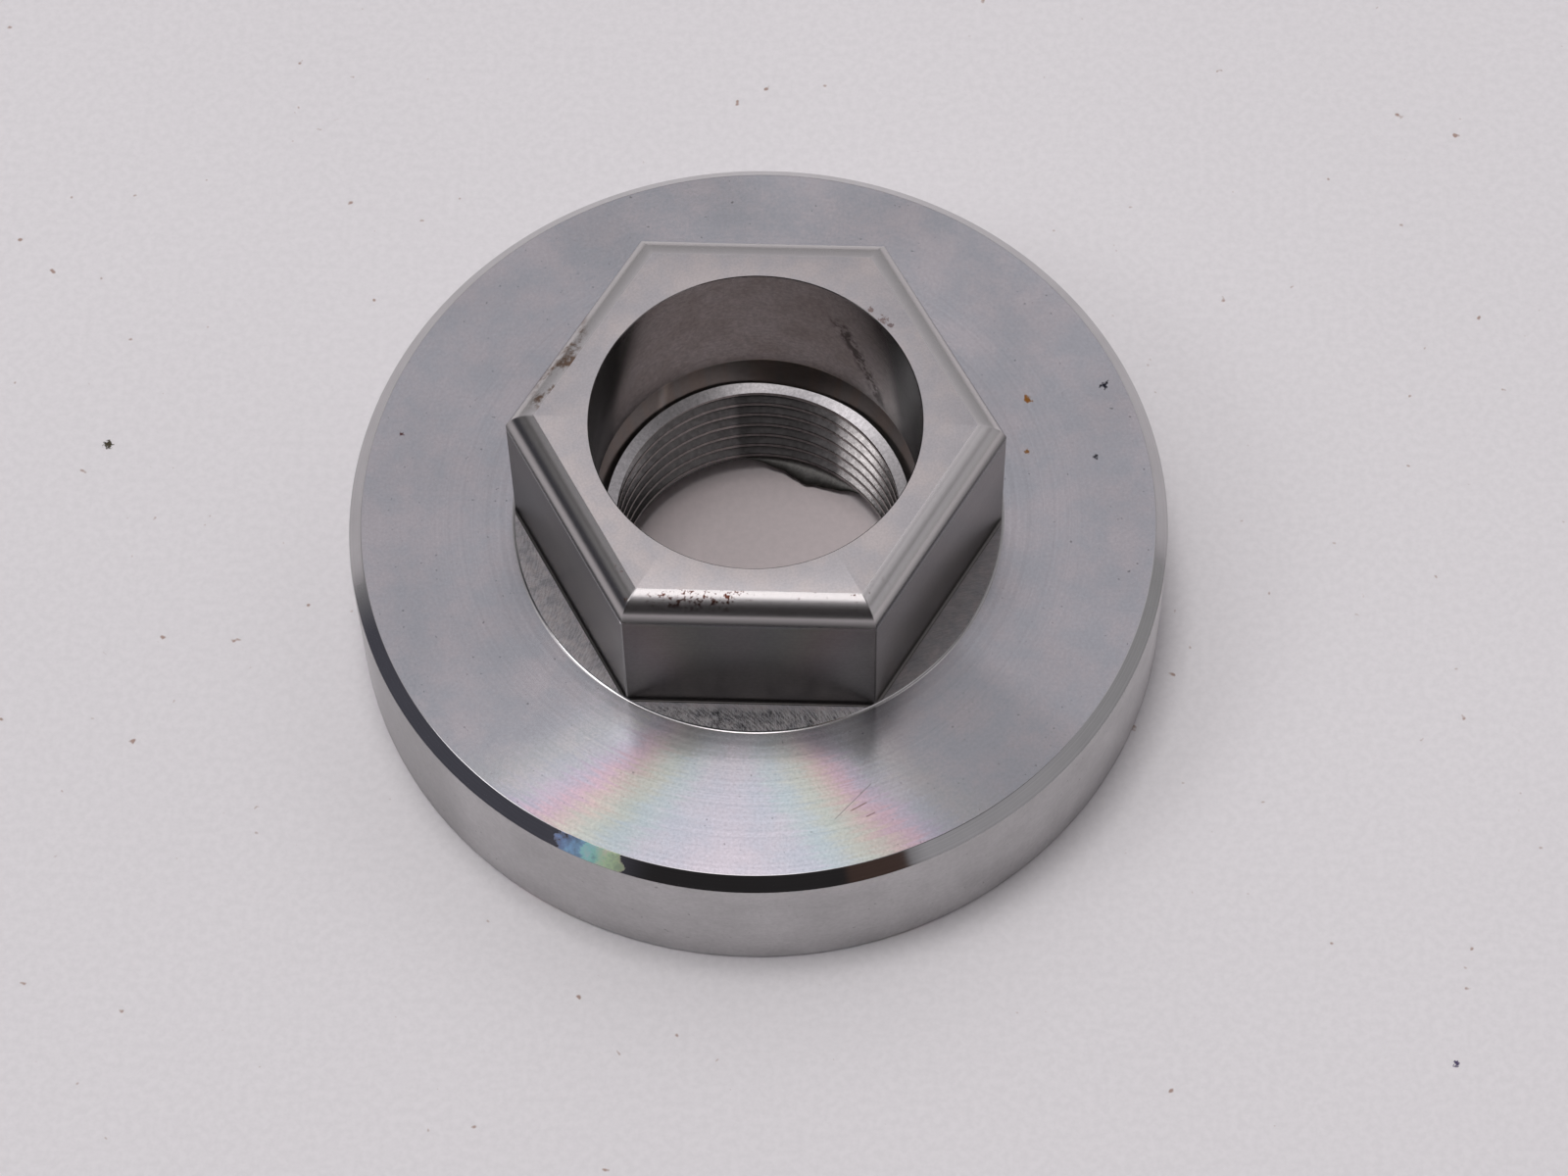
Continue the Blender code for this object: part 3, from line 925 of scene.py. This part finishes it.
def hex_end_material():
    """Faced end: soft, faintly pink and mottled, with painted shade that darkens it slightly from left to
    right, and a few small smudges beside the bore.
    """
    material, graph, place, shader = steel("steel_end_face")
    grain = place.noise(scale=5200.0, detail=2.0, roughness=0.6)
    cloud = place.noise(scale=260.0, detail=5.0, roughness=0.6)
    rings = graph.line_noise(place.radius, scale=4000.0)
    colour = graph.mix(graph.scale(cloud, 0.4, 0.6), END_GREY, END_PINKISH)
    colour = tinted(graph, colour, graph.firm_tone(grain, 0.94, 1.05), graph.firm_tone(cloud, 0.93, 1.05),
                    graph.soft_tone(rings, 0.98, 1.02), graph.scale(place.x, *END_PAINTED_LIGHT_TO_SHADE))
    colour = spotted(graph, place, colour, END_SPOTS)
    graph.feed_all(shader, Base_Color=colour, Roughness=graph.soft_tone(cloud, *SATIN_ROUGHNESS))
    return material


# How far round from the front the bore's painted shade reaches, and its deeper painted shade on the right:
# degrees at height 0, less the drift for each metre up
BORE_SIDES_PAINTED_SHADE, BORE_SIDES_PAINTED_SHADE_DRIFT, BORE_SIDES_PAINTED_SHADE_SOFT = 106.0, -700.0, 3.5
BORE_RIGHT_PAINTED_SHADE, BORE_RIGHT_PAINTED_SHADE_DRIFT, BORE_RIGHT_PAINTED_SHADE_SOFT = 109.0, -600.0, 3.0
BORE_BROWN, BORE_GREY = (0.30, 0.272, 0.262), (0.335, 0.315, 0.312)
# The oil streak: its middle at height 0, plus its drift for each metre up, and the heights it lies between
OIL_ANGLE, OIL_DRIFT = 92.0, 2300.0
OIL_HEIGHT = (17.2 * MM, 26.4 * MM, 0.6 * MM)
OIL_SHADE = (0.06, 0.048, 0.045)


def bore_wall_material():
    """Satin wall under a brownish film, with painted shade darkening it at the sides and more on the right,
    and a broken oil streak at the back right.
    """
    material, graph, place, shader = steel("steel_bored_wall")
    lines = graph.line_noise(place.height, scale=6000.0)
    film = place.noise(scale=260.0, detail=5.0, roughness=0.7)
    grain = place.noise(scale=2600.0)
    # Painted shade: darker round the front and sides of the bore, and darker still on the right
    from_front = graph.math("ABSOLUTE", graph.minus(place.degrees, 3.0))
    swept = graph.line(place.height, BORE_SIDES_PAINTED_SHADE_DRIFT, from_front)
    sides = graph.smooth(swept, BORE_SIDES_PAINTED_SHADE - BORE_SIDES_PAINTED_SHADE_SOFT, BORE_SIDES_PAINTED_SHADE + BORE_SIDES_PAINTED_SHADE_SOFT, 0.42, 1.0)
    reach = graph.line(place.height, BORE_RIGHT_PAINTED_SHADE_DRIFT, place.degrees)
    right_painted_shade = graph.smooth(reach, BORE_RIGHT_PAINTED_SHADE - BORE_RIGHT_PAINTED_SHADE_SOFT, BORE_RIGHT_PAINTED_SHADE + BORE_RIGHT_PAINTED_SHADE_SOFT, 0.27, 1.0)
    leftwards = graph.smooth(place.x, 0.0, 1 * MM, 1.0, 0.0)
    right_painted_shade = graph.math("MAXIMUM", right_painted_shade, leftwards)
    colour = graph.mix(graph.scale(film, 0.4, 0.6), BORE_BROWN, BORE_GREY)
    colour = tinted(graph, colour, graph.soft_tone(lines, 0.93, 1.05), graph.firm_tone(film, 0.86, 1.06),
                    graph.firm_tone(grain, 0.82, 1.14), sides, right_painted_shade)
    streak_angle = graph.line(place.height, OIL_DRIFT, OIL_ANGLE)
    aside = graph.minus(place.degrees, streak_angle)
    streak = graph.times(graph.band(aside, -3.5, 3.5, 2.0), graph.band(place.height, *OIL_HEIGHT))
    blotches = place.noise(scale=1000.0, detail=4.0, roughness=0.7)
    oil = graph.times(streak, graph.scale(blotches, 0.43, 0.53))
    colour = graph.mix(oil, colour, OIL_SHADE)
    graph.feed_all(shader, Base_Color=colour, Roughness=graph.soft_tone(film, 0.2, 0.26))
    anisotropic(graph, shader, 0.75)
    return material


TAPER_GREY, TAPER_BROWN = (0.232, 0.224, 0.214), (0.25, 0.222, 0.2)
# The painted glint: its middle at height 0, less its drift for each metre up
PAINTED_GLINT_ANGLE, PAINTED_GLINT_DRIFT = -117.5, 1500.0


def taper_material():
    """Smooth dark taper, faintly coloured in bands round it, with one painted glint at the back left."""
    material, graph, place, shader = steel("steel_taper")
    hue = graph.line_noise(place.degrees, scale=0.12, detail=2.0, roughness=0.5)
    grain = place.noise(scale=2600.0, detail=2.0, roughness=0.6)
    colour = graph.mix(graph.scale(hue, 0.4, 0.6), TAPER_GREY, TAPER_BROWN)
    # Painted glint: a narrow slanted band lighter than the taper
    drift = graph.line(place.height, PAINTED_GLINT_DRIFT, place.degrees)
    painted_glint = graph.band(graph.minus(drift, PAINTED_GLINT_ANGLE), -0.8, 0.8, 2.6)
    colour = tinted(graph, colour, graph.where(painted_glint, 2.1), graph.firm_tone(grain, 0.95, 1.04))
    graph.feed_all(shader, Base_Color=colour, Roughness=0.16)
    return material


THREAD_STEEL = (0.31, 0.29, 0.285)
THREAD_BUMP = 0.000006
# Painted shade over the back of the thread: from and to, in degrees round from the front
THREAD_PAINTED_SHADE_FROM, THREAD_PAINTED_SHADE_TO = 148.0, 191.0


def thread_material():
    """Freshly cut thread, with painted shade that darkens it at the back."""
    material, graph, place, shader = steel("steel_thread")
    grain = place.noise(scale=2600.0)
    around = graph.math("WRAP", place.degrees, 360.0, 0.0)
    # Painted shade at the back of the thread
    painted_shade_at_back = graph.where(graph.band(around, THREAD_PAINTED_SHADE_FROM, THREAD_PAINTED_SHADE_TO, 2.0), 0.42)
    colour = tinted(graph, THREAD_STEEL, graph.firm_tone(grain, 0.72, 1.2), painted_shade_at_back)
    graph.feed_all(shader, Base_Color=colour, Roughness=0.19, Normal=graph.bump(grain, THREAD_BUMP))
    return material


def fresh_cut_material(name, colour, roughness, grain_depth):
    """A fresh cut inside the bore, with light chatter round it and fine torn grain."""
    material, graph, place, shader = steel(name)
    ripple = graph.line_noise(place.degrees, scale=0.5)
    grain = place.noise(scale=4000.0)
    toned = tinted(graph, colour, graph.soft_tone(ripple, 0.95, 1.04), graph.firm_tone(grain, 0.8, 1.14))
    graph.feed_all(shader, Base_Color=toned, Roughness=roughness, Normal=graph.bump(grain, grain_depth))
    return material


def shoulder_material():
    return fresh_cut_material("steel_shoulder", (0.54, 0.52, 0.525), 0.29, 0.000004)


def lip_material():
    return fresh_cut_material("steel_feather_edge", (0.17, 0.165, 0.155), 0.3, 0.000002)


def countersink_material():
    return fresh_cut_material("steel_countersink", (0.5, 0.49, 0.48), 0.25, 0.000002)


# Each zone of the surface and what makes its material. Zones with the same maker share one material.
ZONES = {
    "underside": turned_face_material,
    "flange_wall": flange_wall_material,
    "chamfer": chamfer_material,
    "flange_face": turned_face_material,
    "boss_edge": boss_edge_material,
    "boss_face": boss_face_material,
    "hex_base": hex_side_material,
    "hex_side": hex_side_material,
    "hex_rounding": hex_rounding_material,
    "hex_end": hex_end_material,
    "bore_wall": bore_wall_material,
    "taper": taper_material,
    "shoulder": shoulder_material,
    "thread": thread_material,
    "lip": lip_material,
    "countersink": countersink_material,
}


def build_nut():
    mesh = nut_mesh(list(ZONES))
    materials = {make: make() for make in dict.fromkeys(ZONES.values())}
    for make in ZONES.values():
        mesh.materials.append(materials[make])
    body = bpy.data.objects.new("steel_body", mesh)
    bpy.context.scene.collection.objects.link(body)
    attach(body, "root")
    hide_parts(NODE)


# ---------------------------------------------------------------- studio

BACKDROP = (0.74, 0.72, 0.735)
SKY = [
    (0.00, (0.36, 0.355, 0.36)),
    (0.35, (0.46, 0.45, 0.47)),
    (0.62, (0.62, 0.605, 0.63)),
    (1.00, (0.68, 0.665, 0.69)),
]
# Darker and lighter parts of the room: azimuth, half width, lowest and highest elevation, softness, shade
SURROUNDINGS = [
    (-97.0, 32.0, 40.0, 67.0, 5.0, (0.20, 0.195, 0.20)),
    (-107.0, 41.0, 36.0, 55.0, 5.0, (0.07, 0.067, 0.069)),
    (-99.0, 42.0, -10.0, 42.0, 6.0, (0.03, 0.028, 0.029)),
    (-63.5, 6.5, 10.0, 40.0, 1.0, (0.074, 0.049, 0.042)),
    (-155.0, 38.0, -10.0, 30.0, 7.0, (0.09, 0.09, 0.11)),
    (163.0, 17.0, 28.0, 54.0, 4.0, (0.10, 0.095, 0.095)),
    (-162.0, 14.0, 38.0, 54.0, 3.0, (3.0, 3.0, 3.05)),
]
# Panels overhead, as seen on a ceiling 1 m up: x from and to, y from and to, softness, shade
CEILING = [
    (0.08, 0.42, -0.9, 0.27, 0.03, (0.15, 0.145, 0.15)),
    (0.38, 1.6, -1.3, 0.08, 0.06, (0.2, 0.195, 0.2)),
    (-0.12, 0.05, -0.26, 0.40, 0.025, (2.0, 1.94, 1.96)),
    (-0.62, -0.30, -0.12, 0.12, 0.04, (2.6, 2.55, 2.6)),
]
LEAST_RISE, LEAST_LEVEL = 0.01, 0.0001


class Direction:
    """A direction from the nut into the room: its parts, its level length and its elevation in degrees."""

    def __init__(self, graph):
        coordinates = graph.node("ShaderNodeTexCoord")
        split = graph.node("ShaderNodeSeparateXYZ")
        graph.feed(split.inputs[0], coordinates.outputs["Generated"])
        self.x, self.y, self.z = split.outputs
        squares = [graph.times(part, part) for part in (self.x, self.y)]
        level = graph.math("SQRT", graph.math("ADD", *squares))
        self.level = graph.math("MAXIMUM", level, LEAST_LEVEL)
        self.elevation = graph.math("DEGREES", graph.math("ARCTAN2", self.z, self.level))


def patch(graph, direction, azimuth, half_width, lowest, highest, soft):
    """1 inside a soft-edged window of the surroundings. All values are in degrees."""
    east, north = math.cos(math.radians(azimuth)), math.sin(math.radians(azimuth))
    facing = graph.line(direction.y, north, graph.times(direction.x, east))
    facing = graph.math("DIVIDE", facing, direction.level)
    off = graph.math("DEGREES", graph.math("ARCCOSINE", facing))
    sideways = graph.smooth(off, half_width - soft, half_width + soft, 1.0, 0.0)
    upwards = graph.band(direction.elevation, lowest, highest, soft)
    return graph.times(sideways, upwards)


def panel(graph, direction, west, east, south, north, soft):
    """1 inside a soft-edged rectangle of the ceiling."""
    above = graph.math("MAXIMUM", direction.z, LEAST_RISE)
    across = graph.band(graph.math("DIVIDE", direction.x, above), west, east, soft)
    along = graph.band(graph.math("DIVIDE", direction.y, above), south, north, soft)
    return graph.times(across, along)


def studio_surroundings():
    """A soft room for the steel to reflect, lit overhead and dark at the front."""
    world = bpy.data.worlds.new("studio")
    bpy.context.scene.world = world
    world.use_nodes = True
    graph = Graph(world.node_tree)
    direction = Direction(graph)
    colour = graph.ramp(graph.scale(direction.elevation, 0.0, 90.0), SKY)
    for *area, shade in CEILING:
        colour = graph.mix(panel(graph, direction, *area), colour, shade)
    for *area, shade in SURROUNDINGS:
        colour = graph.mix(patch(graph, direction, *area), colour, shade)
    background = world.node_tree.nodes["Background"]
    graph.feed(background.inputs["Color"], colour)

    # What the camera sees past the table is the plain backdrop, and not the room
    backdrop = graph.node("ShaderNodeBackground")
    backdrop.inputs["Color"].default_value = (*BACKDROP, 1.0)
    seen = graph.node("ShaderNodeLightPath")
    choose = graph.node("ShaderNodeMixShader")
    graph.feed(choose.inputs[0], seen.outputs["Is Camera Ray"])
    graph.feed(choose.inputs[1], background.outputs[0])
    graph.feed(choose.inputs[2], backdrop.outputs[0])
    output = world.node_tree.nodes["World Output"]
    graph.feed(output.inputs["Surface"], choose.outputs[0])


TABLE_LIGHT_PLACE = (-0.08, 0.03, 1.1)
TABLE_LIGHT_SIZE = 0.3
TABLE_LIGHT_POWER = 4.0


def table_light():
    """A soft overhead lamp for the table, left out of reflections: the steel reflects only the room."""
    lamp = bpy.data.lights.new("table_light", "AREA")
    lamp.size = TABLE_LIGHT_SIZE
    lamp.energy = TABLE_LIGHT_POWER
    light = bpy.data.objects.new("table_light", lamp)
    light.visible_glossy = False
    place = Vector(TABLE_LIGHT_PLACE)
    light.matrix_world = Matrix.Translation(place) @ place.to_track_quat("Z", "Y").to_matrix().to_4x4()
    bpy.context.scene.collection.objects.link(light)


TABLE_COLOUR = (0.81, 0.78, 0.795)
DUST_COLOUR = (0.42, 0.30, 0.26)
# Painted reflection of the bore's walls: warmer and darker on the table inside the bore
PAINTED_REFLECTION_UNDER_BORE = (0.95, 0.87, 0.86)
UNDER_BORE = (11 * MM, 14 * MM)
TABLE_SPOTS = [
    ((-58.8, 13.2, 0.0), 0.5, (0.05, 0.04, 0.02)),
    ((59.7, -43.0, 0.0), 0.35, (0.07, 0.05, 0.12)),
]


def floor_material():
    """Pale painted table with faint grain and a little dust, and a warm painted reflection of the bore's
    walls inside the bore.
    """
    material = bpy.data.materials.new("pale_table")
    material.use_nodes = True
    graph = Graph(material.node_tree)
    place = Place(graph)
    shader = material.node_tree.nodes["Principled BSDF"]
    cloud = place.noise(scale=12.0, detail=3.0, roughness=0.5)
    grain = place.noise(scale=1500.0, detail=2.0, roughness=0.6)
    dust = place.noise(scale=600.0, detail=2.0, roughness=0.5)
    tones = (graph.soft_tone(cloud, 0.98, 1.01), graph.firm_tone(grain, 0.97, 1.025))
    colour = tinted(graph, TABLE_COLOUR, *tones)
    colour = graph.mix(graph.scale(dust, 0.73, 0.77), colour, DUST_COLOUR)
    colour = spotted(graph, place, colour, TABLE_SPOTS)
    # Painted reflection: a warmer, darker tone on the table inside the bore
    under_bore = graph.smooth(place.radius, *UNDER_BORE, 1.0, 0.0)
    colour = graph.mix(under_bore, colour, graph.mix(1.0, colour, PAINTED_REFLECTION_UNDER_BORE, "MULTIPLY"))
    graph.feed_all(shader, Base_Color=colour, Roughness=0.7)
    return material


def build_floor():
    bm = bmesh.new()
    bmesh.ops.create_circle(bm, cap_ends=True, segments=FLOOR_SIDES, radius=FLOOR_RADIUS)
    mesh = bpy.data.meshes.new("table_top")
    bm.to_mesh(mesh)
    bm.free()
    mesh.materials.append(floor_material())
    table = bpy.data.objects.new("table_top", mesh)
    bpy.context.scene.collection.objects.link(table)


def build_camera():
    data = bpy.data.cameras.new("camera")
    data.lens = CAMERA_LENS
    data.sensor_width = SENSOR_WIDTH
    data.clip_start = CAMERA_NEAR
    camera = bpy.data.objects.new("camera", data)
    bpy.context.scene.collection.objects.link(camera)
    position = Vector(CAMERA_POSITION)
    sight = Vector(CAMERA_AIM) - position
    facing = sight.to_track_quat("-Z", "Y").to_matrix().to_4x4()
    camera.matrix_world = Matrix.Translation(position) @ facing @ Matrix.Rotation(CAMERA_ROLL, 4, "Z")
    bpy.context.scene.camera = camera


build_nut()
build_floor()
studio_surroundings()
table_light()
build_camera()
bpy.context.scene.view_settings.view_transform = "Standard"
